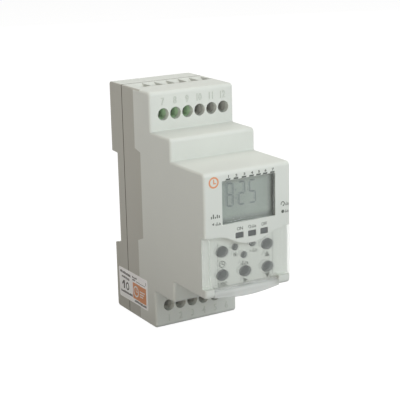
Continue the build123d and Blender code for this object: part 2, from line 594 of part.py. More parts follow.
# ---------------------------------------------------------------- terminals
# Insulating blocks.  Upper row: three poles in each block.  Lower row: one block of six poles.
for name, xs, s in (("terminal_block_7_9", POLES_X[:3], 1), ("terminal_block_10_12", POLES_X[3:], 1),
                    ("terminal_block_1_6", POLES_X, -1)):
    with BuildPart() as block:
        with BuildSketch(front(BLOCK_Y1)):
            with Locations(((xs[0] + xs[-1]) / 2, s * (BLOCK_Z0 + BLOCK_Z1) / 2)):
                Rectangle(PITCH * len(xs) - 0.04, BLOCK_Z1 - BLOCK_Z0)
        extrude(amount=BLOCK_Y1 - BLOCK_Y0)
        with BuildSketch(front(BLOCK_Y0 - 0.5)):
            with Locations(*[(x, s * SCREW_Z) for x in xs]):
                RectangleRounded(2 * FUNNEL_HALF, 2 * FUNNEL_HALF, 0.4)
        extrude(amount=-(WEB_Y0 - BLOCK_Y0 + 0.5), mode=Mode.SUBTRACT)
        # sloping lead-in of each guide
        with BuildSketch(front(BLOCK_Y0)):
            with Locations(*[(x, s * SCREW_Z) for x in xs]):
                Rectangle(2 * LEAD_HALF, 2 * LEAD_HALF)
        extrude(amount=-LEAD_DEPTH, taper=degrees(atan((LEAD_HALF - FUNNEL_HALF) / LEAD_DEPTH)),
                mode=Mode.SUBTRACT)
        with BuildSketch(front(WEB_Y0)):
            with Locations(*[(x, s * SCREW_Z) for x in xs]):
                Circle(1.45)
        extrude(amount=-(WEB_Y1 - WEB_Y0 + 0.2), mode=Mode.SUBTRACT)
        # chamber of the clamp, open to the board
        with BuildSketch(front(WEB_Y1)):
            with Locations(*[(x, s * (SCREW_Z - 0.6)) for x in xs]):
                Rectangle(4.4, 6.4)
        extrude(amount=-(BLOCK_Y1 - 0.7 - WEB_Y1), mode=Mode.SUBTRACT)
        # way of the wire into the chamber
        with Locations(*[(x, (WIRE_Y0 + WIRE_Y1) / 2, s * 41.0) for x in xs]):
            Box(2 * WIRE_HALF_X, WIRE_Y1 - WIRE_Y0, 5.0, mode=Mode.SUBTRACT)
        # way of the solder pin
        with BuildSketch(front(BLOCK_Y1 - 1.0)):
            with Locations(*[(x, s * (SCREW_Z - 3.2)) for x in xs]):
                Circle(0.65)
        extrude(amount=-1.2, mode=Mode.SUBTRACT)
    block.part.label = name
    export_step(block.part, "parts/" + name + ".step")

# Fixed contacts: a flat tongue inside each cage and a pin through the board.
with BuildPart() as contact_tongues:
    with BuildSketch(front(-14.8)):
        with Locations(*[(x, s * (SCREW_Z - 0.7)) for x in POLES_X for s in (-1, 1)]):
            Rectangle(2.5, 6.0)
    extrude(amount=-0.6)
    with BuildSketch(front(-14.3)):
        with Locations(*[(x, s * (SCREW_Z - 3.2)) for x in POLES_X for s in (-1, 1)]):
            Circle(0.5)
    extrude(amount=-8.3)
contact_tongues.part.label = "contact_tongues"
export_step(contact_tongues.part, "parts/contact_tongues.step")

# Terminals 1 to 6 are in the lower row and 7 to 12 in the upper row, counted from the left.
for number in range(1, 13):
    x = POLES_X[(number - 1) % 6]
    z = SCREW_Z if number > 6 else -SCREW_Z
    with BuildPart() as screw:
        with BuildSketch(front(WEB_Y0 - 0.05)):
            with Locations((x, z)):
                Circle(HEAD_R)
        extrude(amount=2.05)
        fillet(screw.edges().filter_by(GeomType.CIRCLE).sort_by(Axis.Y)[0], radius=0.3)
        with BuildSketch(front(WEB_Y0 - 0.05)):
            with Locations((x, z)):
                Circle(1.35)
        extrude(amount=-5.4)
        chamfer(screw.edges().filter_by(GeomType.CIRCLE).sort_by(Axis.Y)[-1], length=0.25)
        # cross recess with one wider slot
        with Locations((x, WEB_Y0 - 1.95, z)):
            Box(2 * HEAD_R + 0.2, 0.9, 0.65, mode=Mode.SUBTRACT)
            Box(0.6, 0.9, 2.2, mode=Mode.SUBTRACT)
    screw.part.label = "terminal_screw_%d" % number
    export_step(screw.part, "parts/terminal_screw_%d.step" % number)

    with BuildPart() as cage:
        with Locations((x, (-16.55 - 9.9) / 2, z)):
            Box(4.1, 16.55 - 9.9, 4.6)
        with Locations((x, (-15.05 - 10.6) / 2, z)):
            Box(2.9, 15.05 - 10.6, 4.8, mode=Mode.SUBTRACT)
        with BuildSketch(front(-17.0)):
            with Locations((x, z)):
                Circle(1.4)
        extrude(amount=-2.2, mode=Mode.SUBTRACT)
    cage.part.label = "clamp_cage_%d" % number
    export_step(cage.part, "parts/clamp_cage_%d.step" % number)

print("rear cover %.1f cm3, front housing %.1f cm3" % (rear_cover.part.volume / 1000,
                                                       front_housing.part.volume / 1000))
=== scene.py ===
import json
import math
import random

import bmesh
import bpy
from mathutils import Matrix, Vector


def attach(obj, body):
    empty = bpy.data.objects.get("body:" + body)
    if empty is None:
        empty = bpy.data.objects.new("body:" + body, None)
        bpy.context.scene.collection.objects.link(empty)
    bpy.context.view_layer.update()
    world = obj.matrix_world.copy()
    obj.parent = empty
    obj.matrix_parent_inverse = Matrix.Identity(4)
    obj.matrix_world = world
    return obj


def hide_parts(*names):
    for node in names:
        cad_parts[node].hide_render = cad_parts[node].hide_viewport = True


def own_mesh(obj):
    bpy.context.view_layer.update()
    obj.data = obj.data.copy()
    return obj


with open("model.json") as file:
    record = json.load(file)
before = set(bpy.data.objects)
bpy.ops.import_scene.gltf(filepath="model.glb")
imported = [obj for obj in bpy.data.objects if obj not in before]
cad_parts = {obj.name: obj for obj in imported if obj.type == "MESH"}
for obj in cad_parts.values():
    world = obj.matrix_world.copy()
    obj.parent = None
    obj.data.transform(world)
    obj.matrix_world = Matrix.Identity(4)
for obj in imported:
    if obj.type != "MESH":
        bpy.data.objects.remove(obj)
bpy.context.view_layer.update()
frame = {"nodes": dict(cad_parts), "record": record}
nodes = frame["nodes"]
MM = 0.001

# ------------------------------------------------------------------ planes and places, in millimetres
FRONT = -65.3          # front face
FIELD = -63.1          # key field under the flap
SHOULDER = -28.0       # front of the terminal shoulders
LCD = -62.8            # front of the display glass
POLES = [5.08 * (i - 2.5) + 0.65 for i in range(6)]
SPLIT, STRIP = -5.8, -15.6     # parting plane and front edge of the recessed side strip


def srgb(r, g, b):
    """Linear colour from 8-bit sRGB values."""
    out = []
    for v in (r, g, b):
        c = v / 255
        out.append(c / 12.92 if c <= 0.04045 else ((c + 0.055) / 1.055) ** 2.4)
    return tuple(out)


# ------------------------------------------------------------------ materials
def tree(name):
    m = bpy.data.materials.new(name)
    m.use_nodes = True
    t = m.node_tree
    t.nodes.clear()
    out = t.nodes.new("ShaderNodeOutputMaterial")
    return m, t, out


def math_node(t, op, a, b=None, c=None, clamp=False):
    n = t.nodes.new("ShaderNodeMath")
    n.operation = op
    n.use_clamp = clamp
    for i, v in enumerate((a, b, c)):
        if v is None:
            continue
        if isinstance(v, (int, float)):
            n.inputs[i].default_value = v
        else:
            t.links.new(v, n.inputs[i])
    return n.outputs[0]


def ramp_node(t, v, lo, hi, to_lo, to_hi, smooth=True):
    n = t.nodes.new("ShaderNodeMapRange")
    n.interpolation_type = "SMOOTHSTEP" if smooth else "LINEAR"
    t.links.new(v, n.inputs["Value"])
    for k, x in (("From Min", lo), ("From Max", hi), ("To Min", to_lo), ("To Max", to_hi)):
        n.inputs[k].default_value = x
    return n.outputs[0]


def mix_colour(t, fac, a, b, kind="MIX"):
    n = t.nodes.new("ShaderNodeMix")
    n.data_type = "RGBA"
    n.blend_type = kind
    if isinstance(fac, (int, float)):
        n.inputs[0].default_value = fac
    else:
        t.links.new(fac, n.inputs[0])
    for i, v in ((6, a), (7, b)):
        if isinstance(v, tuple):
            n.inputs[i].default_value = (*v[:3], 1)
        else:
            t.links.new(v, n.inputs[i])
    return n.outputs[2]


def noise(t, coords, scale, detail=3.0, rough=0.55, stretch=None):
    if stretch:
        m = t.nodes.new("ShaderNodeMapping")
        m.inputs["Scale"].default_value = stretch
        t.links.new(coords, m.inputs["Vector"])
        coords = m.outputs[0]
    n = t.nodes.new("ShaderNodeTexNoise")
    n.inputs["Scale"].default_value = scale
    n.inputs["Detail"].default_value = detail
    n.inputs["Roughness"].default_value = rough
    t.links.new(coords, n.inputs["Vector"])
    return n.outputs["Fac"]


def bump(t, height, strength, distance, under=None):
    n = t.nodes.new("ShaderNodeBump")
    n.inputs["Strength"].default_value = strength
    n.inputs["Distance"].default_value = distance
    t.links.new(height, n.inputs["Height"])
    if under is not None:
        t.links.new(under, n.inputs["Normal"])
    return n.outputs[0]


def object_coords(t):
    return t.nodes.new("ShaderNodeTexCoord").outputs["Object"]


def plastic(name, colour, rough=0.5, spec=0.35, grain=0.18, relief=0.012, vary=0.04, blotch=9.0, depth=0.5, warm=None):
    """Moulded plastic: spark-eroded grain of a given size (mm), slow changes of tone and of gloss."""
    m, t, out = tree(name)
    p = t.nodes.new("ShaderNodeBsdfPrincipled")
    xyz = object_coords(t)
    slow = noise(t, xyz, 1000 / blotch, 2.0, 0.5)
    fine = noise(t, xyz, 1000 / grain, 3.0, 0.6)
    dark = tuple(c * (1 - vary) for c in colour)
    light = tuple(min(1, c * (1 + vary)) for c in (warm or colour))
    tone = mix_colour(t, ramp_node(t, slow, 0.32, 0.68, 0, 1), dark, light)
    speck = ramp_node(t, fine, 0.35, 0.65, 1 - vary * 0.8, 1 + vary * 0.3)
    grey = t.nodes.new("ShaderNodeCombineColor")
    for i in range(3):
        t.links.new(speck, grey.inputs[i])
    t.links.new(mix_colour(t, 1.0, tone, grey.outputs[0], "MULTIPLY"), p.inputs["Base Color"])
    t.links.new(ramp_node(t, slow, 0.3, 0.7, rough - 0.05, rough + 0.05), p.inputs["Roughness"])
    p.inputs["Specular IOR Level"].default_value = spec
    t.links.new(bump(t, fine, depth, relief * MM), p.inputs["Normal"])
    t.links.new(p.outputs[0], out.inputs[0])
    return m


def casing_plastic(name, colour, shaded):
    """Fine matt plastic; the drafted side strips are smoother and get painted shade, and painted shade darkens the
    parting line.
    """
    m, t, out = tree(name)
    p = t.nodes.new("ShaderNodeBsdfPrincipled")
    xyz = object_coords(t)
    sep = t.nodes.new("ShaderNodeSeparateXYZ")
    t.links.new(xyz, sep.inputs[0])
    x = math_node(t, "ABSOLUTE", sep.outputs[0])
    y, z = sep.outputs[1], sep.outputs[2]
    slow = noise(t, xyz, 48, 2.0, 0.5)
    fine = noise(t, xyz, 6200, 3.0, 0.6)
    tone = mix_colour(t, ramp_node(t, slow, 0.32, 0.68, 0, 1), tuple(c * 0.985 for c in colour), tuple(c * 1.015 for c in colour))
    speck = ramp_node(t, fine, 0.35, 0.65, 0.985, 1.006)
    grey = t.nodes.new("ShaderNodeCombineColor")
    for i in range(3):
        t.links.new(speck, grey.inputs[i])
    tone = mix_colour(t, 1.0, tone, grey.outputs[0], "MULTIPLY")
    # painted shade: the drafted side strips and rear cover sides are darkened with the shaded colour; they are also
    # smoother
    strip_gloss_and_shade = math_node(t, "MULTIPLY", ramp_node(t, x, 16.7 * MM, 17.2 * MM, 0, 1), ramp_node(t, x, 17.64 * MM, 17.68 * MM, 1, 0))
    strip_gloss_and_shade = math_node(t, "MULTIPLY", strip_gloss_and_shade, ramp_node(t, y, -20.2 * MM, -20.0 * MM, 0, 1))
    tone = mix_colour(t, strip_gloss_and_shade, tone, mix_colour(t, 1.0, tone, shaded, "MULTIPLY"))
    # painted shade in and beside the parting gap, darkest inside it
    gap = math_node(t, "SUBTRACT", y, (SPLIT + 0.125) * MM)
    gap = math_node(t, "ABSOLUTE", gap)
    gap_edge_shade = ramp_node(t, gap, 0.16 * MM, 0.44 * MM, 1, 0)
    gap_core_shade = ramp_node(t, gap, 0.128 * MM, 0.136 * MM, 1, 0)
    tone = mix_colour(t, math_node(t, "MULTIPLY", gap_edge_shade, 0.72), tone, srgb(98, 90, 74))
    tone = mix_colour(t, math_node(t, "MULTIPLY", gap_core_shade, 0.85), tone, srgb(52, 47, 38))
    # painted shade on the inner walls of the wire entries, more than about 1 mm below the top
    high = math_node(t, "ABSOLUTE", z)
    entry_wall_shade = math_node(t, "MULTIPLY", ramp_node(t, high, 43.80 * MM, 43.98 * MM, 1, 0), ramp_node(t, high, 42.8 * MM, 42.9 * MM, 0, 1))
    entry_wall_shade = math_node(t, "MULTIPLY", entry_wall_shade, ramp_node(t, y, -9.74 * MM, -9.70 * MM, 1, 0))
    entry_wall_shade = math_node(t, "MULTIPLY", entry_wall_shade, ramp_node(t, x, 16.4 * MM, 16.7 * MM, 1, 0))
    entry_wall_shade = math_node(t, "MULTIPLY", entry_wall_shade, ramp_node(t, y, -14.70 * MM, -14.66 * MM, 0, 1))
    tone = mix_colour(t, math_node(t, "MULTIPLY", entry_wall_shade, 0.85), tone, srgb(70, 68, 62))
    # side walls of the display opening, in the shade of the pane's edge
    wall = math_node(t, "MULTIPLY", ramp_node(t, x, 11.30 * MM, 11.40 * MM, 0, 1), ramp_node(t, x, 11.50 * MM, 11.60 * MM, 1, 0))
    wall = math_node(t, "MULTIPLY", wall, ramp_node(t, y, -65.15 * MM, -64.7 * MM, 0, 1))
    wall = math_node(t, "MULTIPLY", wall, ramp_node(t, y, -62.0 * MM, -61.8 * MM, 1, 0))
    wall = math_node(t, "MULTIPLY", wall, ramp_node(t, high, 3.2 * MM, 3.5 * MM, 0, 1))
    wall = math_node(t, "MULTIPLY", wall, ramp_node(t, high, 18.9 * MM, 19.1 * MM, 1, 0))
    tone = mix_colour(t, math_node(t, "MULTIPLY", wall, 0.7), tone, srgb(96, 98, 92))
    t.links.new(tone, p.inputs["Base Color"])
    rough = ramp_node(t, slow, 0.3, 0.7, 0.44, 0.53)
    t.links.new(math_node(t, "SUBTRACT", rough, math_node(t, "MULTIPLY", strip_gloss_and_shade, 0.10)), p.inputs["Roughness"])
    p.inputs["Specular IOR Level"].default_value = 0.30
    t.links.new(bump(t, fine, 0.5, 0.010 * MM), p.inputs["Normal"])
    t.links.new(p.outputs[0], out.inputs[0])
    return m


def metal(name, colour, rough=0.3, brushed=(1, 1, 1), grain=0.12, vary=0.08, shade_behind=None):
    """Bare or plated metal; painted shade can darken what lies behind a plane of constant y (mm), as the shade in
    recesses.
    """
    m, t, out = tree(name)
    p = t.nodes.new("ShaderNodeBsdfPrincipled")
    xyz = object_coords(t)
    slow = noise(t, xyz, 420, 3.0, 0.6)
    fine = noise(t, xyz, 1000 / grain, 4.0, 0.6, stretch=brushed)
    tone = mix_colour(t, ramp_node(t, slow, 0.3, 0.7, 0, 1), tuple(c * (1 - vary) for c in colour),
                      tuple(min(1, c * (1 + vary)) for c in colour))
    if shade_behind is not None:
        sep = t.nodes.new("ShaderNodeSeparateXYZ")
        t.links.new(xyz, sep.inputs[0])
        # painted shade: darker behind the plane, for the shade deep in the screw holes
        recess_shade = ramp_node(t, sep.outputs[1], (shade_behind - 0.05) * MM, (shade_behind + 0.15) * MM, 0, 0.85)
        tone = mix_colour(t, recess_shade, tone, (0.085, 0.083, 0.076))
    t.links.new(tone, p.inputs["Base Color"])
    p.inputs["Metallic"].default_value = 1.0
    t.links.new(ramp_node(t, fine, 0.3, 0.7, rough - 0.08, rough + 0.1), p.inputs["Roughness"])
    t.links.new(bump(t, fine, 0.4, 0.006 * MM), p.inputs["Normal"])
    t.links.new(p.outputs[0], out.inputs[0])
    return m


def clear(name, tint, shade_tint, rough=0.03, ior=1.49, ripple=0.02, soft=0.0, cloudy_below=None):
    """Polished clear plastic.  Light from lamps passes straight through it.  Thick parts at the hinge look cloudy."""
    m, t, out = tree(name)
    p = t.nodes.new("ShaderNodeBsdfPrincipled")
    xyz = object_coords(t)
    flow = noise(t, xyz, 90, 2.0, 0.45)
    p.inputs["Base Color"].default_value = (*tint, 1)
    p.inputs["Transmission Weight"].default_value = 1.0
    p.inputs["IOR"].default_value = ior
    t.links.new(ramp_node(t, flow, 0.3, 0.7, rough * 0.7, rough * 1.4), p.inputs["Roughness"])
    t.links.new(bump(t, flow, 0.25, ripple * MM), p.inputs["Normal"])
    through = t.nodes.new("ShaderNodeBsdfTransparent")
    through.inputs[0].default_value = (*shade_tint, 1)
    path = t.nodes.new("ShaderNodeLightPath")
    mix = t.nodes.new("ShaderNodeMixShader")
    t.links.new(math_node(t, "MAXIMUM", path.outputs["Is Shadow Ray"], path.outputs["Is Diffuse Ray"]), mix.inputs[0])
    body = t.nodes.new("ShaderNodeMixShader")
    body.inputs[0].default_value = soft
    straight = t.nodes.new("ShaderNodeBsdfTransparent")
    straight.inputs[0].default_value = (*tint, 1)
    t.links.new(p.outputs[0], body.inputs[1])
    t.links.new(straight.outputs[0], body.inputs[2])
    if cloudy_below is not None:
        sep = t.nodes.new("ShaderNodeSeparateXYZ")
        t.links.new(xyz, sep.inputs[0])
        cloud = t.nodes.new("ShaderNodeBsdfPrincipled")
        cloud.inputs["Base Color"].default_value = (0.60, 0.625, 0.605, 1)
        cloud.inputs["Roughness"].default_value = 0.18
        thick = t.nodes.new("ShaderNodeMixShader")
        t.links.new(ramp_node(t, sep.outputs[2], (cloudy_below - 1.6) * MM, (cloudy_below + 0.9) * MM, 0.66, 0.0), thick.inputs[0])
        t.links.new(body.outputs[0], thick.inputs[1])
        t.links.new(cloud.outputs[0], thick.inputs[2])
        body = thick
    t.links.new(body.outputs[0], mix.inputs[1])
    t.links.new(through.outputs[0], mix.inputs[2])
    t.links.new(mix.outputs[0], out.inputs[0])
    return m


def board(name, base, track):
    """Solder mask over copper tracks."""
    m, t, out = tree(name)
    p = t.nodes.new("ShaderNodeBsdfPrincipled")
    xyz = object_coords(t)
    v = t.nodes.new("ShaderNodeTexVoronoi")
    v.feature = "DISTANCE_TO_EDGE"
    v.inputs["Scale"].default_value = 420
    t.links.new(xyz, v.inputs["Vector"])
    line = ramp_node(t, v.outputs["Distance"], 0.06, 0.10, 1, 0)
    slow = noise(t, xyz, 120, 2.0)
    tone = mix_colour(t, line, base, track)
    shade = mix_colour(t, ramp_node(t, slow, 0.3, 0.7, 0, 0.25), tone, tuple(c * 0.6 for c in base))
    t.links.new(shade, p.inputs["Base Color"])
    t.links.new(ramp_node(t, slow, 0.3, 0.7, 0.3, 0.42), p.inputs["Roughness"])
    t.links.new(bump(t, line, 0.5, 0.02 * MM), p.inputs["Normal"])
    t.links.new(p.outputs[0], out.inputs[0])
    return m


def print_ink(name, colour, rough=0.55):
    """Pad-printed ink, a little thinner in places."""
    m, t, out = tree(name)
    p = t.nodes.new("ShaderNodeBsdfPrincipled")
    xyz = object_coords(t)
    wear = noise(t, xyz, 2600, 3.0, 0.6)
    tone = mix_colour(t, ramp_node(t, wear, 0.42, 0.72, 0, 0.4), colour, tuple(0.75 * c + 0.25 * 0.45 for c in colour))
    t.links.new(tone, p.inputs["Base Color"])
    t.links.new(ramp_node(t, wear, 0.3, 0.7, rough - 0.06, rough + 0.06), p.inputs["Roughness"])
    p.inputs["Specular IOR Level"].default_value = 0.3
    t.links.new(p.outputs[0], out.inputs[0])
    return m


def lcd_material(name):
    """Grey liquid crystal display, with painted shadow darkening it towards its right and lower edges, where the
    opening's frame shades the cell.
    """
    m, t, out = tree(name)
    p = t.nodes.new("ShaderNodeBsdfPrincipled")
    xyz = object_coords(t)
    sep = t.nodes.new("ShaderNodeSeparateXYZ")
    t.links.new(xyz, sep.inputs[0])
    x, z = sep.outputs[0], sep.outputs[2]
    # painted shadow of the opening's frame along the right and lower edges
    right = ramp_node(t, x, 8.6 * MM, 12.6 * MM, 0, 1)
    low = ramp_node(t, z, 2.8 * MM, 6.4 * MM, 1, 0)
    left = ramp_node(t, x, -10.8 * MM, -8.6 * MM, 1, 0)
    cloud = noise(t, xyz, 95, 2.0, 0.5)
    base = mix_colour(t, ramp_node(t, cloud, 0.3, 0.7, 0, 1), srgb(146, 155, 149), srgb(156, 165, 159))
    tone = mix_colour(t, math_node(t, "MULTIPLY", right, 0.92), base, srgb(48, 51, 46))
    tone = mix_colour(t, math_node(t, "MULTIPLY", low, 0.62), tone, srgb(78, 82, 76))
    tone = mix_colour(t, math_node(t, "MULTIPLY", left, 0.25), tone, srgb(110, 124, 128))
    t.links.new(tone, p.inputs["Base Color"])
    t.links.new(ramp_node(t, cloud, 0.3, 0.7, 0.32, 0.42), p.inputs["Roughness"])
    p.inputs["Specular IOR Level"].default_value = 0.25
    t.links.new(p.outputs[0], out.inputs[0])
    return m


M = {
    "casing": casing_plastic("casing_plastic", (0.655, 0.686, 0.648), (0.650, 0.622, 0.585)),
    # terminal numbers: darker than the casing, painted shade standing in for the shading of the moulded relief
    "casing_mark": plastic("casing_relief", (0.555, 0.590, 0.545), 0.45, 0.35, vary=0.02, blotch=4),
    "latch": plastic("latch_plastic", (0.40, 0.42, 0.40), 0.45, 0.35, vary=0.03, blotch=12),
    "carrier": plastic("carrier_plastic", (0.74, 0.75, 0.72), 0.5, 0.3, vary=0.02, blotch=10),
    "dark_plastic": plastic("dark_plastic", (0.035, 0.036, 0.040), 0.42, 0.4, vary=0.12, blotch=5),
    "keys": plastic("key_rubber", (0.146, 0.156, 0.154), 0.62, 0.25, grain=0.22, relief=0.02, vary=0.10, blotch=1.4),
    "block_green": plastic("terminal_green", (0.500, 0.680, 0.460), 0.42, 0.4, vary=0.06, blotch=3),
    "block_grey": plastic("terminal_grey", (0.520, 0.520, 0.480), 0.42, 0.4, vary=0.06, blotch=3),
    "relay_case": plastic("relay_blue", (0.030, 0.090, 0.260), 0.35, 0.45, vary=0.05, blotch=8),
    "capacitor_case": plastic("capacitor_yellow", (0.62, 0.42, 0.055), 0.4, 0.4, vary=0.05, blotch=6),
    "capacitor_sleeve": plastic("capacitor_sleeve", (0.020, 0.028, 0.060), 0.25, 0.5, relief=0.004, vary=0.08, blotch=6),
    "varistor_coat": plastic("varistor_blue", (0.035, 0.125, 0.310), 0.3, 0.45, relief=0.03, grain=0.9, vary=0.08, blotch=3),
    "elastomer": plastic("elastomer_black", (0.02, 0.02, 0.022), 0.75, 0.2, vary=0.1, blotch=2),
    "label": plastic("label_film", (0.93, 0.94, 0.945), 0.33, 0.4, grain=0.4, relief=0.004, vary=0.02, blotch=8),
    "label_white": plastic("label_print_white", (0.80, 0.80, 0.78), 0.4, 0.35, grain=0.4, relief=0.003, vary=0.02, blotch=8),
    "zinc_steel": metal("zinc_plated", (0.60, 0.61, 0.60), 0.34),
    "zinc_screw": metal("zinc_screw", (0.60, 0.61, 0.60), 0.34, shade_behind=-22.2),
    "spring_steel": metal("spring_steel", (0.50, 0.50, 0.50), 0.26, brushed=(1, 1, 6)),
    "battery_can": metal("battery_can", (0.66, 0.66, 0.64), 0.28, brushed=(1, 1, 8)),
    "tinned_brass": metal("tinned_brass", (0.66, 0.62, 0.52), 0.32),
    "circuit_board": board("solder_mask", (0.010, 0.085, 0.030), (0.035, 0.190, 0.075)),
    "clear_pane": clear("pane_clear", (0.985, 0.99, 0.985), (0.975, 0.98, 0.975), rough=0.02, soft=0.3),
    "clear_flap": clear("flap_clear", (0.988, 0.990, 0.986), (0.972, 0.976, 0.970), rough=0.03, soft=0.76, cloudy_below=-19.6),
    "lcd": lcd_material("display_grey"),
    "ink": print_ink("ink_dark", srgb(88, 94, 88)),
    "ink_text": print_ink("ink_text", srgb(84, 82, 80)),
    "ink_orange": print_ink("ink_orange", srgb(216, 148, 104)),
    "ink_grey": print_ink("ink_grey", srgb(120, 122, 120)),
    "segments": print_ink("segment_grey", srgb(106, 116, 116), 0.4),
}

slots = {s["node"]: s["material_slot"] for s in frame["record"]["subparts"]}
for name, obj in nodes.items():
    obj.data.materials.clear()
    obj.data.materials.append(M["zinc_screw" if name.startswith("terminal_screw_") else slots[name]])


# ------------------------------------------------------------------ helpers for pieces
def piece(name, bm, material, body="casing", smooth=False):
    me = bpy.data.meshes.new(name)
    bmesh.ops.recalc_face_normals(bm, faces=bm.faces)
    bm.to_mesh(me)
    bm.free()
    for p in me.polygons:
        p.use_smooth = smooth
    ob = bpy.data.objects.new(name, me)
    bpy.context.scene.collection.objects.link(ob)
    me.materials.append(M[material])
    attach(ob, body)
    return ob


def add_prism(bm, outline, y0, y1, holes=()):
    """Closed prism between two planes of constant y from an outline of (x, z) points, with holes."""
    def ring(points, y):
        return [bm.verts.new((x * MM, y * MM, z * MM)) for x, z in points]

    loops = [outline, *holes]
    caps = []
    for y in (y0, y1):
        verts = [ring(p, y) for p in loops]
        caps.append(verts)
    for k in range(len(loops)):
        a, b = caps[0][k], caps[1][k]
        n = len(a)
        for i in range(n):
            bm.faces.new((a[i], a[(i + 1) % n], b[(i + 1) % n], b[i]))
    for verts in caps:
        if not holes:
            bm.faces.new(verts[0])
        else:
            outer, inner = verts[0], verts[1]
            n = len(outer)
            assert n == len(inner)
            for i in range(n):
                bm.faces.new((outer[i], outer[(i + 1) % n], inner[(i + 1) % n], inner[i]))


def circle(cx, cz, r, n=40, start=0.0):
    return [(cx + r * math.cos(start + 2 * math.pi * i / n), cz + r * math.sin(start + 2 * math.pi * i / n)) for i in range(n)]


def rect(x0, x1, z0, z1):
    return [(x0, z0), (x1, z0), (x1, z1), (x0, z1)]


def glyph_mesh(bm, text, cx, cz, height, y_back, y_front, squeeze=1.0, weight=0.0):
    """Digits and plus signs as closed relief, centred on (cx, cz) in the plane y."""
    cu = bpy.data.curves.new("glyph", "FONT")
    cu.body = text
    cu.size = height / 0.71
    cu.extrude = 0.5
    cu.offset = weight
    cu.resolution_u = 4
    cu.space_character = 0.95
    ob = bpy.data.objects.new("glyph", cu)
    bpy.context.scene.collection.objects.link(ob)
    bpy.context.view_layer.update()
    me = bpy.data.meshes.new_from_object(ob)
    xs = [v.co.x for v in me.vertices]
    ys = [v.co.y for v in me.vertices]
    mx, my = (min(xs) + max(xs)) / 2, (min(ys) + max(ys)) / 2
    fit = height / (max(ys) - min(ys)) if "+" not in text else 1.0
    for v in me.vertices:
        x = cx + (v.co.x - mx) * squeeze * fit
        z = cz + (v.co.y - my) * fit
        y = y_front if v.co.z > 0 else y_back
        v.co = (x * MM, y * MM, z * MM)
    tmp = bmesh.new()
    tmp.from_mesh(me)
    bmesh.ops.remove_doubles(tmp, verts=tmp.verts, dist=1e-7)
    tmp.to_mesh(me)
    tmp.free()
    bm.from_mesh(me)
    bpy.data.objects.remove(ob)
    bpy.data.curves.remove(cu)
    bpy.data.meshes.remove(me)


# ------------------------------------------------------------------ moulded terminal numbers
bm = bmesh.new()
for i, x in enumerate(POLES):
    glyph_mesh(bm, str(i + 7), x - 0.1, 41.35, 2.75, SHOULDER + 0.05, SHOULDER - 0.16, 0.72, 0.05)
    glyph_mesh(bm, str(i + 1), x - 0.1, -41.55, 2.75, SHOULDER + 0.05, SHOULDER - 0.16, 0.72, 0.05)
piece("terminal_numbers", bm, "casing_mark")

# ------------------------------------------------------------------ printed marks on the front
INK_T = 0.012
SINK = 0.03


def ink_prism(bm, outline, plane, holes=()):
    add_prism(bm, outline, plane + SINK, plane - INK_T, holes)


bm = bmesh.new()
DAY_X = (-7.95, -4.75, -1.50, 1.60, 4.50, 7.20, 10.25)
for i, x in enumerate(DAY_X):
    glyph_mesh(bm, str(i + 1), x + 0.2, 20.30, 0.95, FRONT + SINK, FRONT - INK_T, 1.45, 0.05)
    ink_prism(bm, [(x - 1.0, 19.02), (x + 0.85, 19.02), (x + 1.0, 19.58), (x - 0.85, 19.58)], FRONT)
# generic marks where words stand: bars of unequal height, plus one, a turning arrow and a dot
def random_bars(bm, cx, cz, w, h, plane):
    heights = (0.55, 1.0, 0.4, 0.8, 0.6)
    step = w / 5
    for i, k in enumerate(heights):
        x = cx - w / 2 + (i + 0.5) * step
        ink_prism(bm, rect(x - step * 0.28, x + step * 0.28, cz - h / 2, cz - h / 2 + h * k), plane)


def turning_arrow(bm, cx, cz, r, plane):
    """Three quarters of a ring with an arrow head."""
    n = 26
    a0, a1 = math.radians(-60), math.radians(210)
    outer = [(cx + r * math.cos(a0 + (a1 - a0) * i / n), cz + r * math.sin(a0 + (a1 - a0) * i / n)) for i in range(n + 1)]
    inner = [(cx + r * 0.66 * math.cos(a0 + (a1 - a0) * i / n), cz + r * 0.66 * math.sin(a0 + (a1 - a0) * i / n)) for i in range(n + 1)]
    ink_prism(bm, outer + inner[::-1], plane)
    ex, ez = cx + 0.83 * r * math.cos(a0), cz + 0.83 * r * math.sin(a0)
    d = Vector((math.sin(a0), -math.cos(a0)))
    q = Vector((math.cos(a0), math.sin(a0)))
    tip = Vector((ex, ez)) + d * 0.62 * r
    b1 = Vector((ex, ez)) + q * 0.42 * r
    b2 = Vector((ex, ez)) - q * 0.42 * r
    ink_prism(bm, [tuple(tip), tuple(b1), tuple(b2)], plane)


random_bars(bm, -13.3, 7.0, 3.9, 1.55, FRONT)
ink_prism(bm, [(-14.75, 4.25), (-13.85, 3.75), (-13.85, 4.75)][::-1], FRONT)
random_bars(bm, -12.2, 4.2, 2.2, 1.2, FRONT)
turning_arrow(bm, 14.55, 7.2, 0.85, FRONT)
random_bars(bm, 16.35, 7.05, 1.5, 1.3, FRONT)
ink_prism(bm, circle(14.55, 4.35, 0.62, 28), FRONT)
random_bars(bm, 16.2, 4.35, 1.7, 1.15, FRONT)
glyph_mesh(bm, "ON", -3.45, 1.10, 1.2, FRONT + SINK, FRONT - INK_T, 1.0, 0.02)
turning_arrow(bm, 0.55, 1.10, 0.6, FRONT)
random_bars(bm, 2.35, 1.10, 1.9, 1.15, FRONT)
glyph_mesh(bm, "OFF", 6.65, 1.15, 1.2, FRONT + SINK, FRONT - INK_T, 0.85, 0.02)
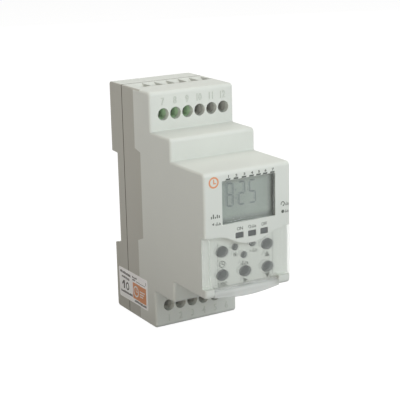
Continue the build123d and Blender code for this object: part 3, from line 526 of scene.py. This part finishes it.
# key field, under the flap
ink_prism(bm, rect(-4.85, -4.40, -9.45, -8.15), FIELD)
ink_prism(bm, rect(-4.15, -3.70, -9.45, -8.15), FIELD)
ink_prism(bm, rect(1.7, 2.5, -8.75, -8.45), FIELD)
random_bars(bm, 3.95, -8.5, 2.3, 1.35, FIELD)
random_bars(bm, -0.45, -12.45, 3.3, 1.5, FIELD)
ink_prism(bm, circle(-9.65, -11.45, 1.3, 40), FIELD, holes=[circle(-9.65, -11.45, 0.96, 40)])
ink_prism(bm, rect(-9.80, -9.50, -11.5, -10.7), FIELD)
ink_prism(bm, rect(-9.80, -8.95, -11.70, -11.40), FIELD)
ink_prism(bm, [(8.0, -11.75), (10.1, -11.75), (9.05, -9.75)], FIELD)
ink_prism(bm, [(8.1, -18.0), (10.3, -18.0), (9.2, -19.9)], FIELD)
ink_prism(bm, [(-1.0, -19.9), (-1.0, -18.0), (1.0, -18.95)], FIELD)
for k in range(3):
    ink_prism(bm, rect(-11.5, -11.0, -18.45 - 0.55 * k, -18.1 - 0.55 * k), FIELD)
    ink_prism(bm, rect(-10.7, -7.7 - 0.5 * (k % 2), -18.45 - 0.55 * k, -18.1 - 0.55 * k), FIELD)
ink_prism(bm, [(-2.9, -20.75), (2.6, -20.75), (2.6, -20.50), (-2.9, -20.50)], FIELD)
piece("front_print", bm, "ink")

# small round dial mark in the corner of the front
bm = bmesh.new()
ink_prism(bm, circle(-13.7, 18.9, 2.0, 56), FRONT, holes=[circle(-13.7, 18.9, 1.42, 56)])
ink_prism(bm, rect(-13.92, -13.48, 18.75, 20.0), FRONT)
ink_prism(bm, rect(-13.92, -12.75, 18.35, 18.75), FRONT)
piece("corner_mark", bm, "ink_orange")

# ------------------------------------------------------------------ display segments
bm = bmesh.new()


def segment_digit(bm, x, z, w, h, on, t=0.55):
    """Seven-segment digit with its lower left corner at (x, z)."""
    g = 0.09
    s = t / 2
    z1, z2, z3 = z + s, z + h / 2, z + h - s
    x1, x2 = x + s, x + w - s

    def bar(ax, az, bx, bz):
        d = Vector((bx - ax, bz - az))
        d.normalize()
        n = Vector((-d.y, d.x))
        a = Vector((ax, az)) + d * g
        b = Vector((bx, bz)) - d * g
        pts = [a, a + (d + n) * s, b + (-d + n) * s, b, b + (-d - n) * s, a + (d - n) * s]
        add_prism(bm, [tuple(p) for p in pts], LCD + 0.01, LCD - 0.015)

    if "a" in on: bar(x1, z3, x2, z3)
    if "b" in on: bar(x2, z3, x2, z2)
    if "c" in on: bar(x2, z2, x2, z1)
    if "d" in on: bar(x1, z1, x2, z1)
    if "e" in on: bar(x1, z1, x1, z2)
    if "f" in on: bar(x1, z2, x1, z3)
    if "g" in on: bar(x1, z2, x2, z2)


DIGITS = {"0": "abcdef", "2": "abdeg", "5": "acdfg", "6": "acdefg", "8": "abcdefg", "3": "abcdg"}
for ch, x in (("8", -7.7), ("2", -2.9), ("5", 1.5)):
    segment_digit(bm, x, 8.9, 2.9, 8.6, DIGITS[ch])
for z in (11.4, 14.4):
    add_prism(bm, rect(-4.15, -3.65, z, z + 0.5), LCD + 0.01, LCD - 0.015)
piece("display_segments", bm, "segments")

# ------------------------------------------------------------------ side label print
SX, SRX, RY, SY = 17.6, 17.25, 4.7, -15.6


def label_x(y):
    """Outer surface of the label at y."""
    if y <= SY:
        return -17.8 - 0.1
    if y <= SY + 0.25:
        return -(17.8 + (SX - 17.8) * (y - SY) / 0.25) - 0.1
    return -(SX - (SX - SRX) * (y - SY - 0.25) / (RY - SY - 0.25)) - 0.1


LABEL_Y, LABEL_TOP, LABEL_TILT = -9.6, -27.95, math.tan(math.radians(1.2))


def label_z(y, down):
    """Height of a point of the label that lies some way below its upper edge."""
    return LABEL_TOP - down - LABEL_TILT * (y - LABEL_Y)


def label_outline(bm, points):
    """Closed print patch from an outline of (y, way down) points, wrapped on the label.  No edge crosses a fold unsplit."""
    folds = (SY, SY + 0.25)
    spans = [(-99.0, folds[0]), folds, (folds[1], 99.0)]
    for lo, hi in spans:
        poly = list(points)
        for limit, keep in ((lo, 1), (hi, -1)):
            cut = []
            for (ya, da), (yb, db) in zip(poly, poly[1:] + poly[:1]):
                ina, inb = (ya - limit) * keep >= 0, (yb - limit) * keep >= 0
                if ina:
                    cut.append((ya, da))
                if ina != inb:
                    f = (limit - ya) / (yb - ya)
                    cut.append((limit, da + (db - da) * f))
            poly = cut
            if not poly:
                break
        if len(poly) < 3:
            continue
        if sum(ya * db - yb * da for (ya, da), (yb, db) in zip(poly, poly[1:] + poly[:1])) < 0:
            poly.reverse()
        rings = []
        for proud in (-0.012, 0.03):
            rings.append([bm.verts.new(((label_x(y) + proud) * MM, y * MM, label_z(y, d) * MM)) for y, d in poly])
        bm.faces.new(rings[0])
        bm.faces.new(rings[1][::-1])
        n = len(poly)
        for i in range(n):
            bm.faces.new((rings[0][(i + 1) % n], rings[0][i], rings[1][i], rings[1][(i + 1) % n]))


def label_rows(bm, y0, y1, down, tall, seed, lean=0.0):
    """A row of short strokes of uneven length, as small print looks from afar."""
    rng = random.Random(seed)
    y = y1
    while y > y0 + 0.3:
        w = min(rng.uniform(0.35, 0.95), y - y0)
        k = rng.choice((1.0, 1.0, 0.75))
        d = down + lean * (y1 - y + w / 2)
        label_outline(bm, [(y, d + tall * (1 - k)), (y - w, d + tall * (1 - k)), (y - w, d + tall), (y, d + tall)])
        y -= w + rng.uniform(0.12, 0.22)


bm = bmesh.new()
label_outline(bm, [(-9.3, 3.7), (-20.7, 3.7), (-20.7, 10.2), (-9.3, 10.2)])
piece("label_block", bm, "ink_orange")
# generic dial on the block: a ring and two hands in white, a little above the block's ink
bm = bmesh.new()


def label_ring(bm, cy, cd, r0, r1, n=36):
    for i in range(n):
        a, b = 2 * math.pi * i / n, 2 * math.pi * (i + 1) / n
        label_outline(bm, [(cy + r0 * math.cos(a), cd + r0 * math.sin(a)), (cy + r1 * math.cos(a), cd + r1 * math.sin(a)),
                           (cy + r1 * math.cos(b), cd + r1 * math.sin(b)), (cy + r0 * math.cos(b), cd + r0 * math.sin(b))])


label_ring(bm, -12.0, 6.95, 1.65, 2.25)
label_outline(bm, [(-11.8, 5.6), (-12.2, 5.6), (-12.2, 7.15), (-11.8, 7.15)])
label_outline(bm, [(-11.8, 6.75), (-13.3, 6.75), (-13.3, 7.15), (-11.8, 7.15)])
for k in range(3):
    label_outline(bm, [(-15.2, 5.75 + 1.0 * k), (-19.6 + 0.7 * k, 5.75 + 1.0 * k), (-19.6 + 0.7 * k, 6.20 + 1.0 * k), (-15.2, 6.20 + 1.0 * k)])
for v in bm.verts:
    v.co.x -= 0.006 * MM
piece("label_dial", bm, "label_white")
bm = bmesh.new()
label_rows(bm, -7.6, 1.7, 1.10, 0.95, 3, 0.045)
label_rows(bm, -6.2, 0.3, 2.95, 0.90, 5, 0.06)
label_outline(bm, [(-1.15, 4.95), (-2.15, 4.95), (-2.15, 8.25), (-1.15, 8.25)])
label_outline(bm, [(0.25, 6.35), (-1.15, 4.95), (-1.15, 6.05), (-0.15, 7.00)])
for i in range(32):
    a, b = 2 * math.pi * i / 32, 2 * math.pi * (i + 1) / 32
    label_outline(bm, [(-4.55 + 0.75 * math.cos(a), 6.75 + 1.05 * math.sin(a)), (-4.55 + 1.35 * math.cos(a), 6.75 + 1.65 * math.sin(a)),
                       (-4.55 + 1.35 * math.cos(b), 6.75 + 1.65 * math.sin(b)), (-4.55 + 0.75 * math.cos(b), 6.75 + 1.05 * math.sin(b))])
label_rows(bm, -8.8, 1.2, 9.15, 0.85, 7)
label_rows(bm, -12.7, -8.9, 1.30, 0.70, 9)
label_rows(bm, -11.7, -8.9, 2.35, 0.65, 11)
label_outline(bm, [(-12.2, 2.75), (-20.2, 2.75), (-20.2, 2.95), (-12.2, 2.95)])
label_outline(bm, [(-20.5, 1.2), (-20.8, 1.2), (-20.8, 2.4), (-20.5, 2.4)])
label_rows(bm, -20.9, -10.6, 10.55, 0.85, 13)
piece("label_lines", bm, "ink_text")

# ------------------------------------------------------------------ latch spring: flat zigzag strip
pts = [(0, -35.0), (0, -34.2), (1.7, -34.2), (1.7, -32.8), (-1.7, -32.8), (-1.7, -31.3), (1.7, -31.3), (1.7, -29.8),
       (-1.7, -29.8), (-1.7, -28.3), (1.7, -28.3), (1.7, -26.8), (-1.7, -26.8), (-1.7, -25.4), (0, -25.4), (0, -24.4)]


def rounded_path(points, r, steps=6):
    out = [Vector(points[0])]
    for a, b, c in zip(points, points[1:], points[2:]):
        a, b, c = Vector(a), Vector(b), Vector(c)
        u, v = (a - b).normalized(), (c - b).normalized()
        p, q = b + u * r, b + v * r
        centre = b + (u + v) * r
        a0 = math.atan2(p.y - centre.y, p.x - centre.x)
        a1 = math.atan2(q.y - centre.y, q.x - centre.x)
        d = (a1 - a0 + math.pi) % (2 * math.pi) - math.pi
        for i in range(steps + 1):
            w = a0 + d * i / steps
            out.append(centre + Vector((math.cos(w), math.sin(w))) * r)
    out.append(Vector(points[-1]))
    return out


path = rounded_path(pts, 0.38)
bm = bmesh.new()
rings = []
HALF_T = 0.225
for i, p in enumerate(path):
    d = (path[min(i + 1, len(path) - 1)] - path[max(i - 1, 0)]).normalized()
    n = Vector((-d.y, d.x))
    corner = 0.06
    profile = [(-HALF_T, 1.6 + corner), (-HALF_T + corner, 1.6), (HALF_T - corner, 1.6), (HALF_T, 1.6 + corner),
               (HALF_T, 2.8 - corner), (HALF_T - corner, 2.8), (-HALF_T + corner, 2.8), (-HALF_T, 2.8 - corner)]
    rings.append([bm.verts.new(((p.x + n.x * k) * MM, y * MM, (p.y + n.y * k) * MM)) for k, y in profile])
for a, b in zip(rings, rings[1:]):
    for i in range(8):
        bm.faces.new((a[i], a[(i + 1) % 8], b[(i + 1) % 8], b[i]))
bm.faces.new(rings[0])
bm.faces.new(rings[-1][::-1])
spring = piece("latch_spring", bm, "spring_steel")
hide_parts("rail_clip_spring")
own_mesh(spring)

# ------------------------------------------------------------------ floor, light and camera
FLOOR_NEAR, FLOOR_FAR, FLOOR_GLOW = 0.005, 0.16, 0.625
WORLD_LOW, WORLD_UP = 0.03, 0.0
me = bpy.data.meshes.new("floor")
bm = bmesh.new()
bmesh.ops.create_grid(bm, x_segments=1, y_segments=1, size=6.0)
bm.to_mesh(me)
bm.free()
floor = bpy.data.objects.new("floor", me)
floor.location = (0, 0, -0.04502)
bpy.context.scene.collection.objects.link(floor)
m, t, out = tree("floor_pale")
d = t.nodes.new("ShaderNodeBsdfDiffuse")
d.inputs[0].default_value = (0.15, 0.15, 0.15, 1)
e = t.nodes.new("ShaderNodeEmission")
e.inputs[0].default_value = (1, 1, 1, 1)
path_node = t.nodes.new("ShaderNodeLightPath")
seen = math_node(t, "SUBTRACT", 1.0, path_node.outputs["Is Diffuse Ray"])
# the paper sweep glows a little away from the object, which shades it close by
where = t.nodes.new("ShaderNodeTexCoord")
last = where.outputs["Object"]
for op, v in (("ADD", (0, 0.030, 0)), ("ABSOLUTE", None), ("SUBTRACT", (0.018, 0.035, 1.0)), ("MAXIMUM", (0, 0, 0)), ("LENGTH", None)):
    span = t.nodes.new("ShaderNodeVectorMath")
    span.operation = op
    t.links.new(last, span.inputs[0])
    if v is not None:
        span.inputs[1].default_value = v
    last = span.outputs[0]
far = ramp_node(t, span.outputs["Value"], FLOOR_NEAR, FLOOR_FAR, 0.0, FLOOR_GLOW)
glow = math_node(t, "MULTIPLY", far, path_node.outputs["Is Diffuse Ray"])
t.links.new(math_node(t, "ADD", math_node(t, "MULTIPLY", seen, 0.95), glow), e.inputs[1])
a = t.nodes.new("ShaderNodeAddShader")
t.links.new(d.outputs[0], a.inputs[0])
t.links.new(e.outputs[0], a.inputs[1])
t.links.new(a.outputs[0], out.inputs[0])
m.cycles.emission_sampling = "NONE"
me.materials.append(m)

world = bpy.data.worlds.new("studio")
bpy.context.scene.world = world
world.use_nodes = True
world.cycles.sampling_method = "NONE"
t = world.node_tree
t.nodes.clear()
wo = t.nodes.new("ShaderNodeOutputWorld")
bg = t.nodes.new("ShaderNodeBackground")
tc = t.nodes.new("ShaderNodeTexCoord")
sep = t.nodes.new("ShaderNodeSeparateXYZ")
t.links.new(tc.outputs["Generated"], sep.inputs[0])
up = ramp_node(t, sep.outputs[2], -0.2, 0.6, 0.0, 1.0)
level = math_node(t, "ADD", math_node(t, "MULTIPLY", up, WORLD_UP), WORLD_LOW)
ray = t.nodes.new("ShaderNodeLightPath")
bright = math_node(t, "SUBTRACT", 1.0, ray.outputs["Is Diffuse Ray"])
level = math_node(t, "MAXIMUM", level, math_node(t, "MULTIPLY", bright, 0.95))
t.links.new(level, bg.inputs[1])
t.links.new(mix_colour(t, ray.outputs["Is Diffuse Ray"], (1.0, 1.0, 1.0), (1.10, 1.0, 0.90)), bg.inputs[0])
t.links.new(bg.outputs[0], wo.inputs[0])


def area(name, direction, distance, size, size_y, power, colour):
    light = bpy.data.lights.new(name, "AREA")
    light.shape = "RECTANGLE"
    light.size, light.size_y = size, size_y
    light.energy = power
    light.color = colour
    ob = bpy.data.objects.new(name, light)
    bpy.context.scene.collection.objects.link(ob)
    v = Vector(direction).normalized()
    ob.location = Vector((0, -0.03, 0)) + v * distance
    ob.rotation_euler = v.to_track_quat("Z", "Y").to_euler()
    return ob


area("front_right", (0.40, -0.80, 0.48), 1.0, 0.55, 0.55, 4.25, (0.94, 1.0, 1.04))
area("front_low", (0.25, -1.0, 0.03), 1.0, 0.30, 0.06, 0.12, (1.0, 1.0, 0.98))
area("right", (1.0, -0.15, 0.25), 1.0, 0.55, 0.55, 1.8, (1.08, 1.0, 0.90))
area("left", (-0.9, -0.45, 0.03), 1.0, 0.8, 0.8, 3.3, (1.15, 1.0, 0.86))
area("back_top", (0.06, 0.5, 1.0), 1.0, 0.6, 0.6, 2.9, (1.03, 1.0, 0.95))
area("top", (0.04, 0.0, 1.0), 1.0, 0.7, 0.7, 3.4, (1.03, 1.0, 0.95))
area("back", (0.35, 1.0, 0.0), 1.0, 0.8, 0.08, 1.7, (1.02, 1.0, 0.97))
area("near_camera", (-0.40, -0.88, 0.26), 1.0, 0.30, 0.30, 1.95, (1.0, 1.0, 0.98))

cam = bpy.data.cameras.new("camera")
cam.sensor_width = 36
cam.sensor_fit = "HORIZONTAL"
cam.lens = 1206.8105 * 36 / 400
cam.clip_start = 0.01
cam.clip_end = 20
camera = bpy.data.objects.new("camera", cam)
bpy.context.scene.collection.objects.link(camera)
az, el, roll = -0.526892, 0.261515, -0.022748
back = Vector((math.sin(az) * math.cos(el), -math.cos(az) * math.cos(el), math.sin(el)))
right = (-back).cross(Vector((0, 0, 1))).normalized()
up_v = right.cross(-back)
r = math.cos(roll) * right + math.sin(roll) * up_v
u = -math.sin(roll) * right + math.cos(roll) * up_v
target = Vector((6.964073, -20.3, -0.189333)) * MM
place = target + back * 462.058364 * MM
camera.matrix_world = Matrix(((r.x, u.x, back.x, place.x), (r.y, u.y, back.y, place.y),
                              (r.z, u.z, back.z, place.z), (0, 0, 0, 1)))
bpy.context.scene.camera = camera
bpy.context.scene.view_settings.view_transform = "Standard"
bpy.context.scene.view_settings.look = "None"
